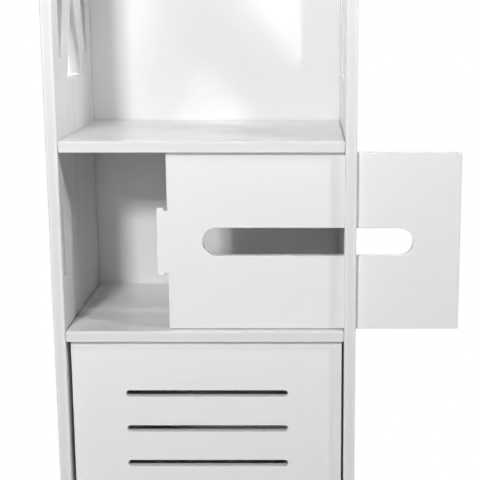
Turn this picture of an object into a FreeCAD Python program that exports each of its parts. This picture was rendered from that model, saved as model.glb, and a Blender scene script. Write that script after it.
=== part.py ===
"""Slim bathroom cabinet: open niche with latticed sides, tissue compartment, vented cupboard.

Frame: origin on the floor under the middle of the carcass, +X right, +Y back, +Z up, millimetres.
The door is shut, and the tissue panel stands drawn out to the right.
"""

import FreeCAD
import Part
import math
import os
import re
import Sketcher

SIZES = {
    # Carcass of plain boards
    "cabinet_width": 240,
    "cabinet_depth": 160,
    "board_thickness": 9,
    "bottom_clearance": 31,
    "cupboard_height": 270,
    "tissue_height": 143,
    "niche_height": 320,
    "board_edge_bevel": 0.8,
    "board_end_gap": 0.3,
    "plinth_setback": 12,
    "plinth_floor_gap": 9,
    # Back sheet in its grooves
    "back_thickness": 3,
    "back_setback": 5,
    "groove_depth": 4,
    "groove_clearance": 0.15,
    "groove_front_clearance": 1.2,
    # X lattice of the side panels
    "lattice_stile": 22,
    "lattice_rail": 43.5,
    "lattice_bar": 28,
    "lattice_foot_inset": 10.6,
    "lattice_corner_radius": 1.5,
    # Arch between the feet of a side panel, and the glides under them
    "foot_length": 38,
    "arch_height": 14,
    "arch_corner_radius": 8,
    "glide_height": 4,
    "glide_length": 30,
    "glide_width": 8,
    "glide_edge_radius": 1,
    "glide_stem_diameter": 4,
    "glide_stem_length": 10,
    # Thin front sheets: the tissue panel and the door
    "sheet_thickness": 6,
    "sheet_recess": 6,
    "sheet_edge_bevel": 0.5,
    # Tissue panel
    "panel_gap": 0.5,
    "panel_drawn_out": 82,
    "tongue_height": 55,
    "tongue_corner_radius": 2.4,
    "relief_diameter": 3.4,
    "relief_inset": 1.2,
    "relief_sink": 0.9,
    "tissue_slot_length": 166,
    "tissue_slot_height": 22.3,
    # Door
    "door_hinge_gap": 2.8,
    "door_latch_gap": 1.7,
    "door_end_gap": 1.5,
    "door_running_gap": 0.3,
    "door_corner_radius": 1.5,
    "vent_length": 131,
    "vent_height": 5.5,
    "vent_step_length": 30,
    "vent_count": 7,
    # Pivots of the door
    "pivot_inset": 6,
    "pivot_pin_diameter": 4,
    "pivot_pin_grip": 14,
    "pivot_pin_reach": 5,
    "pivot_pin_bevel": 0.5,
    "pivot_bush_diameter": 7,
    "pivot_bush_depth": 6,
    "pivot_flange_diameter": 10,
    # Knob and its screw
    "knob_inset": 18,
    "knob_diameter": 22,
    "knob_length": 19,
    "knob_neck_diameter": 12,
    "knob_neck_length": 6,
    "knob_flare_length": 4,
    "knob_face_radius": 3,
    "knob_screw_diameter": 4,
    "knob_screw_grip": 10,
    "knob_screw_head_diameter": 8,
    "knob_screw_head_height": 2.6,
    # Magnetic catch under the tissue shelf
    "catch_inset": 40,
    "catch_plate_length": 46,
    "catch_plate_thickness": 3,
    "catch_block_length": 28,
    "catch_block_depth": 13,
    "catch_block_height": 12,
    "catch_block_radius": 1.5,
    "catch_screw_spacing": 36,
    "catch_screw_diameter": 3,
    "catch_screw_head_diameter": 5.6,
    "catch_screw_head_height": 1.8,
    "catch_screw_grip": 6.5,
    "catch_centre_drop": 7,
    "magnet_length": 20,
    "magnet_height": 4,
    "magnet_depth": 9,
    "pole_thickness": 1.2,
    "pole_stand_out": 0.6,
    "strike_gap": 0.3,
    "strike_length": 30,
    "strike_height": 10,
    "strike_thickness": 1,
    "strike_corner_radius": 2,
    "strike_peg_diameter": 4,
    "strike_peg_length": 4,
    # Loose cupboard shelf on pegs
    "cupboard_shelf_rise": 126,
    "cupboard_shelf_setback": 22,
    "cupboard_shelf_gap": 0.7,
    "peg_front_inset": 45,
    "peg_rear_inset": 31,
    "peg_diameter": 5,
    "peg_depth": 6,
    "peg_tab_length": 9,
    "peg_tab_width": 9,
    "peg_tab_thickness": 3,
    # Countersunk screws through the side panels, and their caps
    "screw_diameter": 3.5,
    "screw_head_diameter": 6.4,
    "screw_length": 30,
    "screw_front_inset": 30,
    "screw_rear_inset": 38,
    "cap_diameter": 7.4,
    "cap_rim_height": 0.6,
    "cap_height": 1.6,
    "cap_crown_diameter": 4.6,
    # Clearances of fits, and how far a cut runs past the solid
    "fit_clearance": 0.05,
    "cut_overrun": 1,
}

doc = FreeCAD.newDocument("bathroom_cabinet")
sheet = doc.addObject("Spreadsheet::Sheet", "sizes")
for row, (alias, size) in enumerate(SIZES.items(), start=1):
    sheet.set(f"A{row}", alias)
    sheet.set(f"B{row}", str(size))
    sheet.setAlias(f"B{row}", alias)
doc.recompute()

# Heights above the floor, worked out from the stack of boards and compartments
cupboard_floor = "(bottom_clearance + board_thickness)"
cupboard_top = f"({cupboard_floor} + cupboard_height)"
tissue_floor = f"({cupboard_top} + board_thickness)"
tissue_top = f"({tissue_floor} + tissue_height)"
niche_floor = f"({tissue_top} + board_thickness)"
niche_top = f"({niche_floor} + niche_height)"
cabinet_height = f"({niche_top} + board_thickness)"

# Plan of the carcass: the space between the side panels and in front of the back sheet
inner_width = "(cabinet_width - 2 * board_thickness)"
inner_depth = "(cabinet_depth - back_setback - back_thickness)"
front = "(-cabinet_depth / 2)"
sheet_front = f"({front} + sheet_recess)"
sheet_back = f"({sheet_front} + sheet_thickness)"

# Door, its pivot axis and the catch
door_width = f"({inner_width} - door_hinge_gap - door_latch_gap)"
door_height = "(cupboard_height - 2 * door_end_gap)"
door_left = f"(-{inner_width} / 2 + door_hinge_gap)"
door_bottom = f"({cupboard_floor} + door_end_gap)"
pivot_x = f"({door_left} + pivot_inset)"
pivot_y = f"({sheet_front} + sheet_thickness / 2)"
catch_x = f"({inner_width} / 2 - catch_inset)"
catch_poles_y = f"({sheet_back} + strike_thickness + strike_gap)"
catch_y = f"({catch_poles_y} + pole_stand_out)"
catch_z = f"({cupboard_top} - catch_centre_drop)"
stack_height = "(magnet_height + 2 * pole_thickness)"

# Tissue panel: its shoulder meets the left side panel when it is shut
panel_height = "(tissue_height - 2 * panel_gap)"
panel_length = f"({inner_width} + board_thickness - panel_gap)"
tongue_length = "(board_thickness - panel_gap)"
tongue_bottom = f"(({panel_height} - tongue_height) / 2)"
tongue_top = f"({tongue_bottom} + tongue_height)"

# Lattice window of a side panel, measured from its front edge and from its lower end
lattice_middle = f"({inner_depth} / 2)"
lattice_half_width = f"({lattice_middle} - lattice_stile)"
lattice_base = f"({niche_floor} - glide_height + lattice_rail)"
lattice_half_height = "(niche_height / 2 - lattice_rail)"
lattice_centre = f"({lattice_base} + {lattice_half_height})"
lattice_run = f"({lattice_half_width} - lattice_foot_inset)"
lattice_slope = f"({lattice_run} / {lattice_half_height})"
lattice_bar_across = f"(lattice_bar * sqrt(1 + {lattice_slope} ^ 2))"

cupboard_shelf_z = f"({cupboard_floor} + cupboard_shelf_rise)"
plinth_height = "(bottom_clearance - plinth_floor_gap)"
plinth_screw_inset = "(plinth_setback + board_thickness / 2)"
plinth_screw_z = f"(plinth_floor_gap + {plinth_height} / 2)"
board_end = f"({inner_width} / 2 - board_end_gap)"
pilot_depth = "(screw_length - board_thickness - board_end_gap + fit_clearance)"
peg_places = ("peg_front_inset", "(cabinet_depth - peg_rear_inset)")
peg_spacing = "(cabinet_depth - peg_front_inset - peg_rear_inset)"
board_screw_places = ("screw_front_inset", "(cabinet_depth - screw_rear_inset)")
board_screw_spacing = "(cabinet_depth - screw_front_inset - screw_rear_inset)"

# Lengths that differ by less than this count as the same
tolerance = 1e-6


def cells(text):
    """The expression with each named size written as a cell of the sheet."""
    return re.sub(r"[a-z]+(_[a-z]+)+", lambda name: "sizes." + name.group(), text)


def value(text):
    """The number that an expression of named sizes gives."""
    return float(sheet.evalExpression(cells(text)))


def bind(thing, prop, text):
    """Tie a property of an object to an expression of named sizes."""
    thing.setExpression(prop, cells(text))


def new_body(label, x="0", y="0", z="0"):
    """An empty body at a place, which may hold several solids alike."""
    body = doc.addObject("PartDesign::Body", label)
    body.Label = label
    body.AllowCompound = True
    bind(body, "Placement.Base.x", x)
    bind(body, "Placement.Base.y", y)
    bind(body, "Placement.Base.z", z)
    return body


def origin_part(body, role):
    """A plane or axis of the body's own origin."""
    return next(part for part in body.Origin.OriginFeatures if part.Role == role)


def new_sketch(body, role, lift="0"):
    """A sketch on one of the body's planes, lifted along the plane's normal."""
    sketch = body.newObject("Sketcher::SketchObject", "sketch")
    sketch.AttachmentSupport = [(origin_part(body, role), "")]
    sketch.MapMode = "FlatFace"
    bind(sketch, "AttachmentOffset.Base.z", lift)
    return sketch


def place_point(sketch, geometry, end, point):
    """Tie one point of a sketch to a pair of expressions."""
    for kind, text in zip(("DistanceX", "DistanceY"), point):
        constraint = Sketcher.Constraint(kind, -1, 1, geometry, end, value(text))
        index = sketch.addConstraint(constraint)
        bind(sketch, f"Constraints[{index}]", text)


def set_radius(sketch, geometry, text):
    """Tie the radius of a circle or arc to an expression."""
    index = sketch.addConstraint(Sketcher.Constraint("Radius", geometry, value(text)))
    bind(sketch, f"Constraints[{index}]", text)


def draw_outline(sketch, points):
    """A closed outline of straight lines through the points."""
    corners = [FreeCAD.Vector(value(x), value(y), 0) for x, y in points]
    following = corners[1:] + corners[:1]
    lines = [Part.LineSegment(a, b) for a, b in zip(corners, following)]
    indices = sketch.addGeometry(lines, False)
    for place, index in enumerate(indices):
        after = indices[(place + 1) % len(indices)]
        sketch.addConstraint(Sketcher.Constraint("Coincident", index, 2, after, 1))
    for index, point in zip(indices, points):
        place_point(sketch, index, 1, point)


def draw_rectangle(sketch, left, low, right, high):
    """A rectangle between two corners."""
    draw_outline(sketch, [(left, low), (right, low), (right, high), (left, high)])


def draw_circle(sketch, x, y, diameter):
    """A circle about a point."""
    centre = FreeCAD.Vector(value(x), value(y), 0)
    radius = f"({diameter}) / 2"
    circle = Part.Circle(centre, FreeCAD.Vector(0, 0, 1), value(radius))
    index = sketch.addGeometry(circle, False)
    place_point(sketch, index, 3, (x, y))
    set_radius(sketch, index, radius)


def draw_slot(sketch, x, y, length, height):
    """A level slot with round ends about a point."""
    radius = value(height) / 2
    up = FreeCAD.Vector(0, 0, 1)
    ends = [f"({x} - ({length} - {height}) / 2)", f"({x} + ({length} - {height}) / 2)"]
    left, right = [FreeCAD.Vector(value(end), value(y), 0) for end in ends]
    rise = FreeCAD.Vector(0, radius, 0)
    quarter = math.pi / 2
    first, second, above, below = sketch.addGeometry(
        [
            Part.ArcOfCircle(Part.Circle(left, up, radius), quarter, 3 * quarter),
            Part.ArcOfCircle(Part.Circle(right, up, radius), -quarter, quarter),
            Part.LineSegment(left + rise, right + rise),
            Part.LineSegment(left - rise, right - rise),
        ],
        False,
    )
    sketch.addConstraint(Sketcher.Constraint("Tangent", first, 1, above, 1))
    sketch.addConstraint(Sketcher.Constraint("Tangent", first, 2, below, 1))
    sketch.addConstraint(Sketcher.Constraint("Tangent", second, 1, below, 2))
    sketch.addConstraint(Sketcher.Constraint("Tangent", second, 2, above, 2))
    place_point(sketch, first, 3, (ends[0], y))
    place_point(sketch, second, 3, (ends[1], y))
    set_radius(sketch, first, f"{height} / 2")


def pad(body, sketch, length, reverse=False):
    """Material from a sketch, along its plane's normal or against it."""
    feature = body.newObject("PartDesign::Pad", "pad")
    feature.Profile = sketch
    bind(feature, "Length", length)
    feature.Reversed = reverse
    doc.recompute()
    return feature


def revolve(body, sketch, axis):
    """A full turn of a sketch about one of its own axes."""
    feature = body.newObject("PartDesign::Revolution", "turned")
    feature.Profile = sketch
    feature.ReferenceAxis = (sketch, [axis])
    feature.Angle = 360
    doc.recompute()
    return feature


def cut_through(body, sketch):
    """A cut through all, to both sides of its sketch."""
    feature = body.newObject("PartDesign::Pocket", "opening")
    feature.Profile = sketch
    feature.Type = "ThroughAll"
    feature.SideType = "Symmetric"
    doc.recompute()
    return feature


def cut_blind(body, sketch, depth, along_normal=False):
    """A cut of some depth, against its plane's normal or along it."""
    feature = body.newObject("PartDesign::Pocket", "recess")
    feature.Profile = sketch
    bind(feature, "Length", depth)
    feature.Reversed = along_normal
    doc.recompute()
    return feature


def mirror(body, role, originals=()):
    """A mirror image, of some features or of the whole body, across one of its planes."""
    feature = body.newObject("PartDesign::Mirrored", "mirrored")
    feature.MirrorPlane = (origin_part(body, role), [""])
    if originals:
        feature.Originals = list(originals)
    else:
        feature.TransformMode = "Whole shape"
    body.Tip = feature
    doc.recompute()
    return feature


def repeat(body, role, spacing, count, originals=()):
    """A row of copies, of some features or of the whole body, along one of its axes."""
    feature = body.newObject("PartDesign::LinearPattern", "row")
    feature.Direction = (origin_part(body, role), [""])
    feature.Mode = "Spacing"
    bind(feature, "Offset", spacing)
    bind(feature, "Occurrences", count)
    if originals:
        feature.Originals = list(originals)
    else:
        feature.TransformMode = "Whole shape"
    body.Tip = feature
    doc.recompute()
    return feature


def same(first, second):
    """Whether two numbers are the same within the tolerance."""
    return abs(first - second) < tolerance


def pick_edges(feature, chosen):
    """The names of a feature's edges that a test picks."""
    edges = enumerate(feature.Shape.Edges, start=1)
    return [f"Edge{index}" for index, edge in edges if not edge.Degenerated and chosen(edge)]


def round_edges(body, radius, chosen=lambda edge: True):
    """A fillet on the body's edges that the test picks, or on all of them."""
    base = body.Tip
    names = pick_edges(base, chosen)
    feature = body.newObject("PartDesign::Fillet", "rounding")
    feature.Base = (base, names)
    bind(feature, "Radius", radius)
    doc.recompute()
    return feature


def bevel_edges(body, size, chosen=lambda edge: True):
    """An even bevel on the body's edges that the test picks, or on all of them."""
    base = body.Tip
    names = pick_edges(base, chosen)
    feature = body.newObject("PartDesign::Chamfer", "bevel")
    feature.Base = (base, names)
    bind(feature, "Size", size)
    doc.recompute()
    return feature


def runs_along(edge, axis):
    """Whether an edge is a straight one along an axis."""
    if edge.Curve.TypeId != "Part::GeomLine":
        return False
    return same(abs(edge.tangentAt(edge.FirstParameter).dot(axis)), 1)


def is_ring(edge, diameter=None):
    """Whether an edge is a full circle, of that diameter if one is given."""
    if edge.Curve.TypeId != "Part::GeomCircle" or not edge.isClosed():
        return False
    return diameter is None or same(edge.Curve.Radius, value(diameter) / 2)


def lattice_windows():
    """The four triangles that an X of two bars leaves, as (depth, height) corners."""
    half_bar = f"({lattice_bar_across} / 2)"
    foot = f"({lattice_run} - {half_bar})"
    peak = f"({foot} / {lattice_slope})"
    side_height = f"(({lattice_half_width} - {half_bar}) / {lattice_slope})"
    low = lattice_base
    high = f"({lattice_base} + 2 * {lattice_half_height})"
    mid_x = lattice_middle
    mid_z = lattice_centre
    near = f"({mid_x} - {lattice_half_width})"
    far = f"({mid_x} + {lattice_half_width})"
    above = f"({mid_z} + {side_height})"
    below = f"({mid_z} - {side_height})"
    return [
        [(f"{mid_x} - {foot}", low), (f"{mid_x} + {foot}", low), (mid_x, f"{low} + {peak}")],
        [(f"{mid_x} + {foot}", high), (f"{mid_x} - {foot}", high), (mid_x, f"{high} - {peak}")],
        [(near, below), (f"{mid_x} - {half_bar}", mid_z), (near, above)],
        [(far, above), (f"{mid_x} + {half_bar}", mid_z), (far, below)],
    ]


def screw_places():
    """Where screws pass a side panel, as (depth, height) from its front edge and lower end."""
    places = [(plinth_screw_inset, f"{plinth_screw_z} - glide_height")]
    for board in ("bottom_clearance", cupboard_top, tissue_top, niche_top):
        height = f"{board} + board_thickness / 2 - glide_height"
        places.extend((depth, height) for depth in board_screw_places)
    return places


def side_panel(label, x, inner_face, outer_face):
    """A side board with its lattice, arch, groove, screw holes, peg holes and glide holes."""
    inward = inner_face == "0"
    body = new_body(label, x, front, "glide_height")
    outline = new_sketch(body, "YZ_Plane")
    draw_rectangle(outline, "0", "0", "cabinet_depth", f"{cabinet_height} - glide_height")
    pad(body, outline, "board_thickness")
    bevel_edges(body, "board_edge_bevel")

    windows = new_sketch(body, "YZ_Plane")
    for corners in lattice_windows():
        draw_outline(windows, corners)
    cut_through(body, windows)
    lowest = value(lattice_base) - value("lattice_rail") / 2
    highest = lowest + value("niche_height")
    middle = value(lattice_middle)
    reach = middle - value("lattice_stile") / 2
    across = FreeCAD.Vector(1, 0, 0)
    round_edges(
        body,
        "lattice_corner_radius",
        lambda edge: runs_along(edge, across)
        and lowest < edge.CenterOfMass.z < highest
        and abs(edge.CenterOfMass.y - middle) < reach,
    )

    arch = new_sketch(body, "YZ_Plane")
    draw_rectangle(arch, "foot_length", "-cut_overrun", "cabinet_depth - foot_length", "arch_height")
    cut_through(body, arch)
    arch_z = value("arch_height")
    round_edges(
        body,
        "arch_corner_radius",
        lambda edge: runs_along(edge, across) and same(edge.CenterOfMass.z, arch_z),
    )

    groove = new_sketch(body, "YZ_Plane", inner_face)
    draw_rectangle(
        groove,
        f"{inner_depth} - groove_front_clearance",
        f"{cupboard_floor} - glide_height",
        f"{inner_depth} + back_thickness + groove_clearance",
        f"{niche_top} - glide_height",
    )
    cut_blind(body, groove, "groove_depth", inward)

    peg_holes = new_sketch(body, "YZ_Plane", inner_face)
    for depth in peg_places:
        height = f"{cupboard_shelf_z} - peg_diameter / 2 - glide_height"
        draw_circle(peg_holes, depth, height, "peg_diameter + 2 * fit_clearance")
    cut_blind(body, peg_holes, "peg_depth + fit_clearance", inward)

    stem_holes = new_sketch(body, "XY_Plane")
    for depth in ("foot_length / 2", "cabinet_depth - foot_length / 2"):
        hole = "glide_stem_diameter + 2 * fit_clearance"
        draw_circle(stem_holes, "board_thickness / 2", depth, hole)
    cut_blind(body, stem_holes, "glide_stem_length + fit_clearance", True)

    screw_hole = "screw_diameter + 2 * fit_clearance"
    holes = new_sketch(body, "YZ_Plane")
    for depth, height in screw_places():
        draw_circle(holes, depth, height, screw_hole)
    cut_through(body, holes)
    face = value(outer_face)
    bevel_edges(
        body,
        "(screw_head_diameter - screw_diameter) / 2",
        lambda edge: is_ring(edge, screw_hole) and same(edge.CenterOfMass.x, face),
    )
    return body


def cut_panel_way(body, low, high):
    """The way of the tissue panel through a side panel, between two heights above the floor."""
    way = new_sketch(body, "YZ_Plane")
    draw_rectangle(
        way,
        "sheet_recess - panel_gap",
        f"{low} - glide_height",
        "sheet_recess + sheet_thickness + panel_gap",
        f"{high} - glide_height",
    )
    cut_through(body, way)


def side_panels():
    """Left side panel with the tongue's mortise, right one with the tissue panel's slot."""
    half = "cabinet_width / 2"
    left = side_panel("left_side_panel", f"-{half}", "board_thickness", "0")
    middle = f"{tissue_floor} + tissue_height / 2"
    reach = "(tongue_height / 2 + panel_gap)"
    cut_panel_way(left, f"{middle} - {reach}", f"{middle} + {reach}")
    right = side_panel("right_side_panel", f"{half} - board_thickness", "0", "board_thickness")
    cut_panel_way(right, tissue_floor, tissue_top)


def board(label, z, depth):
    """A level board between the side panels, with pilot holes for screws in its ends."""
    body = new_body(label, "0", front, z)
    outline = new_sketch(body, "XY_Plane")
    draw_rectangle(outline, f"-{board_end}", "0", board_end, depth)
    pad(body, outline, "board_thickness")
    bevel_edges(body, "board_edge_bevel")
    pilots = new_sketch(body, "YZ_Plane", f"-{board_end}")
    for place in board_screw_places:
        draw_circle(pilots, place, "board_thickness / 2", "screw_diameter + 2 * fit_clearance")
    drilled = cut_blind(body, pilots, pilot_depth, True)
    mirror(body, "YZ_Plane", [drilled])
    return body


def bush_hole(body, lift, up):
    """The hole that a pivot bush sits in, from the board's face at that height."""
    hole = new_sketch(body, "XY_Plane", lift)
    bore = "pivot_bush_diameter + 2 * fit_clearance"
    draw_circle(hole, pivot_x, f"{pivot_y} - {front}", bore)
    cut_blind(body, hole, "pivot_bush_depth + fit_clearance", up)


def boards():
    """Top, upper shelf, tissue shelf and bottom."""
    board("top_board", niche_top, "cabinet_depth")
    board("upper_shelf", tissue_top, inner_depth)
    shelf = board("tissue_shelf", cupboard_top, inner_depth)
    bush_hole(shelf, "0", True)
    screw_holes = new_sketch(shelf, "XY_Plane")
    for side in ("-1", "1"):
        draw_circle(
            screw_holes,
            f"{catch_x} + {side} * catch_screw_spacing / 2",
            f"{catch_y} - {front} + catch_block_depth / 2",
            "catch_screw_diameter + 2 * fit_clearance",
        )
    cut_blind(shelf, screw_holes, "catch_screw_grip + fit_clearance", True)
    bottom = board("bottom_board", "bottom_clearance", "cabinet_depth")
    bush_hole(bottom, "board_thickness", False)


def plinth_board():
    """Upright board under the bottom board, set back from the front."""
    body = new_body("plinth_board", "0", f"{front} + plinth_setback", "plinth_floor_gap")
    outline = new_sketch(body, "XZ_Plane")
    draw_rectangle(outline, f"-{board_end}", "0", board_end, plinth_height)
    pad(body, outline, "board_thickness", True)
    bevel_edges(body, "board_edge_bevel")
    pilot = new_sketch(body, "YZ_Plane", f"-{board_end}")
    hole = "screw_diameter + 2 * fit_clearance"
    draw_circle(pilot, "board_thickness / 2", f"{plinth_height} / 2", hole)
    drilled = cut_blind(body, pilot, pilot_depth, True)
    mirror(body, "YZ_Plane", [drilled])


def back_panel():
    """Thin sheet that stands on the bottom board, in the grooves of the side panels."""
    body = new_body("back_panel", "0", f"{front} + {inner_depth}", cupboard_floor)
    reach = f"({inner_width} / 2 + groove_depth - groove_clearance)"
    outline = new_sketch(body, "XZ_Plane")
    top = f"{niche_top} - {cupboard_floor} - groove_clearance"
    draw_rectangle(outline, f"-{reach}", "0", reach, top)
    pad(body, outline, "back_thickness", True)


def tissue_panel():
    """Sliding front sheet: tongue with relief notches at its root, and the round-ended slot."""
    left = f"-{inner_width} / 2 + panel_gap + panel_drawn_out"
    body = new_body("tissue_panel", left, sheet_front, f"{tissue_floor} + panel_gap")
    outline = new_sketch(body, "XZ_Plane")
    draw_outline(
        outline,
        [
            ("0", "0"),
            (panel_length, "0"),
            (panel_length, panel_height),
            ("0", panel_height),
            ("0", tongue_top),
            (f"-{tongue_length}", tongue_top),
            (f"-{tongue_length}", tongue_bottom),
            ("0", tongue_bottom),
        ],
    )
    pad(body, outline, "sheet_thickness", True)
    tip = -value(tongue_length)
    through = FreeCAD.Vector(0, 1, 0)
    round_edges(
        body,
        "tongue_corner_radius",
        lambda edge: runs_along(edge, through) and same(edge.CenterOfMass.x, tip),
    )
    reliefs = new_sketch(body, "XZ_Plane")
    draw_circle(reliefs, "-relief_inset", f"{tongue_top} - relief_sink", "relief_diameter")
    draw_circle(reliefs, "-relief_inset", f"{tongue_bottom} + relief_sink", "relief_diameter")
    cut_through(body, reliefs)
    slot = new_sketch(body, "XZ_Plane")
    middle = f"({inner_width} / 2 - panel_gap)"
    draw_slot(slot, middle, f"({panel_height} / 2)", "tissue_slot_length", "tissue_slot_height")
    cut_through(body, slot)
    faces = (0, value("sheet_thickness"))
    bevel_edges(
        body,
        "sheet_edge_bevel",
        lambda edge: same(edge.BoundBox.YLength, 0)
        and any(same(edge.BoundBox.YMax, y) for y in faces),
    )


def door_panel():
    """Inset door: a row of round-ended vents, pivot holes in its ends, knob and strike holes."""
    body = new_body("door_panel", door_left, sheet_front, door_bottom)
    outline = new_sketch(body, "XZ_Plane")
    draw_rectangle(outline, "0", "0", door_width, door_height)
    pad(body, outline, "sheet_thickness", True)
    through = FreeCAD.Vector(0, 1, 0)
    round_edges(body, "door_corner_radius", lambda edge: runs_along(edge, through))
    bevel_edges(body, "sheet_edge_bevel", lambda edge: same(edge.BoundBox.YLength, 0))
    vent = new_sketch(body, "XZ_Plane")
    lowest = f"({door_height} / 2 - (vent_count - 1) / 2 * vent_step_length)"
    draw_slot(vent, f"({door_width} / 2)", lowest, "vent_length", "vent_height")
    first = cut_through(body, vent)
    repeat(body, "Z_Axis", "vent_step_length", "vent_count", [first])
    pin_hole = "pivot_pin_diameter + 2 * fit_clearance"
    for lift, up in (("0", True), (door_height, False)):
        pivot = new_sketch(body, "XY_Plane", lift)
        draw_circle(pivot, "pivot_inset", "sheet_thickness / 2", pin_hole)
        cut_blind(body, pivot, "pivot_pin_grip + fit_clearance", up)
    knob_hole = new_sketch(body, "XZ_Plane")
    knob_bore = "knob_screw_diameter + 2 * fit_clearance"
    draw_circle(knob_hole, f"{door_width} - knob_inset", f"{door_height} / 2", knob_bore)
    cut_through(body, knob_hole)
    peg_hole = new_sketch(body, "XZ_Plane", "-sheet_thickness")
    peg_bore = "strike_peg_diameter + 2 * fit_clearance"
    draw_circle(peg_hole, f"{catch_x} - {door_left}", f"{catch_z} - {door_bottom}", peg_bore)
    cut_blind(body, peg_hole, "strike_peg_length + fit_clearance", True)


def pivot_pins():
    """Pins pressed into the door's ends, each reaching into its bush."""
    length = "(pivot_pin_grip + door_end_gap + pivot_pin_reach)"
    places = {
        "upper_hinge_pin": f"{cupboard_top} + pivot_pin_reach - {length}",
        "lower_hinge_pin": f"{cupboard_floor} - pivot_pin_reach",
    }
    for label, z in places.items():
        body = new_body(label, pivot_x, pivot_y, z)
        circle = new_sketch(body, "XY_Plane")
        draw_circle(circle, "0", "0", "pivot_pin_diameter")
        pad(body, circle, length)
        bevel_edges(body, "pivot_pin_bevel", is_ring)


def pivot_bushes():
    """Flanged bushes in the tissue shelf and the bottom board, with the pins' running fit."""
    bore = "(pivot_pin_diameter / 2 + fit_clearance)"
    outside = "pivot_bush_diameter / 2"
    rim = "pivot_flange_diameter / 2"
    for label, z, up in (
        ("upper_hinge_bush", cupboard_top, "1"),
        ("lower_hinge_bush", cupboard_floor, "-1"),
    ):
        body = new_body(label, pivot_x, pivot_y, z)
        profile = new_sketch(body, "XZ_Plane")
        flange = f"-{up} * (door_end_gap - door_running_gap)"
        end = f"{up} * pivot_bush_depth"
        draw_outline(
            profile,
            [(bore, flange), (rim, flange), (rim, "0"), (outside, "0"), (outside, end), (bore, end)],
        )
        revolve(body, profile, "V_Axis")


def door_knob():
    """Turned knob on a neck, with a blind hole for its screw."""
    place = (f"{door_left} + {door_width} - knob_inset", f"{door_bottom} + {door_height} / 2")
    body = new_body("door_knob", place[0], sheet_front, place[1])
    profile = new_sketch(body, "XY_Plane")
    bore = "knob_screw_diameter / 2 + fit_clearance"
    bottom = "-(knob_screw_grip + fit_clearance)"
    flare = "-(knob_neck_length + knob_flare_length)"
    draw_outline(
        profile,
        [
            (bore, "0"),
            ("knob_neck_diameter / 2", "0"),
            ("knob_neck_diameter / 2", "-knob_neck_length"),
            ("knob_diameter / 2", flare),
            ("knob_diameter / 2", "-knob_length"),
            ("0", "-knob_length"),
            ("0", bottom),
            (bore, bottom),
        ],
    )
    revolve(body, profile, "V_Axis")
    round_edges(body, "knob_face_radius", lambda edge: is_ring(edge, "knob_diameter"))

    screw = new_body("knob_screw", place[0], sheet_back, place[1])
    turned = new_sketch(screw, "XY_Plane")
    head = "knob_screw_head_diameter / 2"
    shank = "knob_screw_diameter / 2"
    end = "-(sheet_thickness + knob_screw_grip)"
    top = "knob_screw_head_height"
    draw_outline(turned, [("0", end), (shank, end), (shank, "0"), (head, "0"), (head, top), ("0", top)])
    revolve(screw, turned, "V_Axis")
    crown = value(top)
    round_edges(
        screw,
        "knob_screw_head_height / 2",
        lambda edge: is_ring(edge) and same(edge.CenterOfMass.y, crown),
    )


def magnetic_catch():
    """Catch under the tissue shelf: case, magnet between two pole plates, and its screws."""
    body = new_body("catch_case", catch_x, catch_y, cupboard_top)
    flat = new_sketch(body, "XY_Plane")
    reach = "catch_plate_length / 2"
    draw_rectangle(flat, f"-{reach}", "0", reach, "catch_block_depth")
    pad(body, flat, "catch_plate_thickness", True)
    upright = FreeCAD.Vector(0, 0, 1)
    round_edges(body, "catch_block_radius", lambda edge: runs_along(edge, upright))
    block = new_sketch(body, "XY_Plane")
    half = "catch_block_length / 2"
    draw_rectangle(block, f"-{half}", "0", half, "catch_block_depth")
    pad(body, block, "catch_block_height", True)
    mouth = new_sketch(body, "XZ_Plane")
    side = "(magnet_length / 2 + fit_clearance)"
    rise = f"({stack_height} / 2 + fit_clearance)"
    drop = "catch_centre_drop"
    draw_rectangle(mouth, f"-{side}", f"-{drop} - {rise}", side, f"-{drop} + {rise}")
    cut_blind(body, mouth, "magnet_depth - pole_stand_out + fit_clearance")
    ears = new_sketch(body, "XY_Plane")
    for sign in ("-1", "1"):
        place = f"{sign} * catch_screw_spacing / 2"
        draw_circle(ears, place, "catch_block_depth / 2", "catch_screw_diameter + 2 * fit_clearance")
    cut_through(body, ears)

    magnet = new_body("catch_magnet", catch_x, catch_y, catch_z)
    core = new_sketch(magnet, "XZ_Plane")
    length = "magnet_length / 2"
    draw_rectangle(core, f"-{length}", "-magnet_height / 2", length, "magnet_height / 2")
    pad(magnet, core, "magnet_depth - pole_stand_out", True)

    poles = new_body("catch_pole_plates", catch_x, catch_poles_y, catch_z)
    plate = new_sketch(poles, "XZ_Plane")
    draw_rectangle(plate, f"-{length}", "magnet_height / 2", length, f"{stack_height} / 2")
    pad(poles, plate, "magnet_depth", True)
    mirror(poles, "XY_Plane")

    screws = new_body("catch_screws", catch_x, f"{catch_y} + catch_block_depth / 2", cupboard_top)
    turned = new_sketch(screws, "XZ_Plane")
    bind(turned, "AttachmentOffset.Base.x", "-catch_screw_spacing / 2")
    head = "catch_screw_head_diameter / 2"
    shank = "catch_screw_diameter / 2"
    seat = "-catch_plate_thickness"
    low = "-(catch_plate_thickness + catch_screw_head_height)"
    top = "catch_screw_grip"
    draw_outline(turned, [("0", low), (head, low), (head, seat), (shank, seat), (shank, top), ("0", top)])
    revolve(screws, turned, "V_Axis")
    mirror(screws, "YZ_Plane")


def strike_plate():
    """Steel plate behind the door that the catch holds, with a peg pressed into the door."""
    body = new_body("strike_plate", catch_x, sheet_back, catch_z)
    outline = new_sketch(body, "XZ_Plane")
    half = "strike_length / 2"
    draw_rectangle(outline, f"-{half}", "-strike_height / 2", half, "strike_height / 2")
    pad(body, outline, "strike_thickness", True)
    through = FreeCAD.Vector(0, 1, 0)
    round_edges(body, "strike_corner_radius", lambda edge: runs_along(edge, through))
    peg = new_sketch(body, "XZ_Plane")
    draw_circle(peg, "0", "0", "strike_peg_diameter")
    pad(body, peg, "strike_peg_length")


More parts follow.
